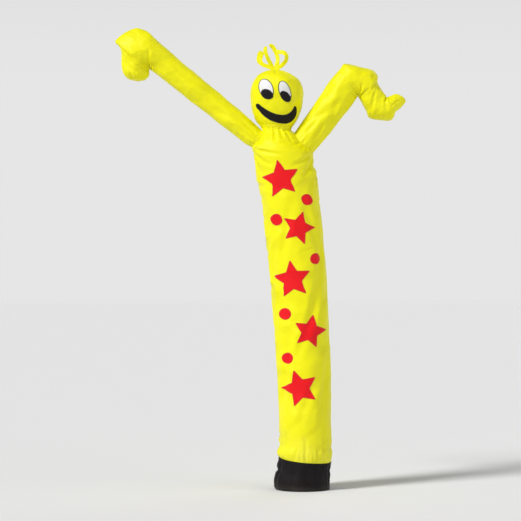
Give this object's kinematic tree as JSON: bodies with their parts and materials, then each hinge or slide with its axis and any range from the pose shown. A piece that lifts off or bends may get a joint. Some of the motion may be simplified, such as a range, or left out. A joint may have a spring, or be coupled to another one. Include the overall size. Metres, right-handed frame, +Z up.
{
  "type": "inflatable air dancer",
  "caption": "Tall inflated nylon tube figure with raised arms, a smiling head with hair ribbons, star trim and a black base sleeve, standing on the sleeve's open lower rim.",
  "frame": {"origin": "on the floor, under the middle of the whole figure; the base sleeve's centre is 0.275 m to the right of it", "axes": "+Z up; +X to the figure's raised bent arm, the right of the picture; -Y towards the viewer, the side with the face"},
  "size_m": [1.914, 0.3713, 3.042],
  "materials": {
    "yellow_nylon": "satin",
    "black_coated_cloth": "matte",
    "black_nylon": "matte",
    "white_nylon": "matte",
    "red_nylon": "matte"
  },
  "bodies": {
    "root": {"base_sleeve": "black_coated_cloth", "body_tube": "yellow_nylon", "arm_left": "yellow_nylon", "arm_right": "yellow_nylon", "head": "yellow_nylon", "hair_ribbon_1": "yellow_nylon", "hair_ribbon_2": "yellow_nylon", "hair_ribbon_3": "yellow_nylon", "hair_ribbon_4": "yellow_nylon", "eye_white_left": "white_nylon", "eye_white_right": "white_nylon", "pupil_left": "black_nylon", "pupil_right": "black_nylon", "mouth": "black_nylon", "star_1": "red_nylon", "star_2": "red_nylon", "star_3": "red_nylon", "star_4": "red_nylon", "star_5": "red_nylon", "spot_1": "red_nylon", "spot_2": "red_nylon", "spot_3": "red_nylon", "spot_4": "red_nylon", "spot_5": "red_nylon"}
  },
  "joints": []
}
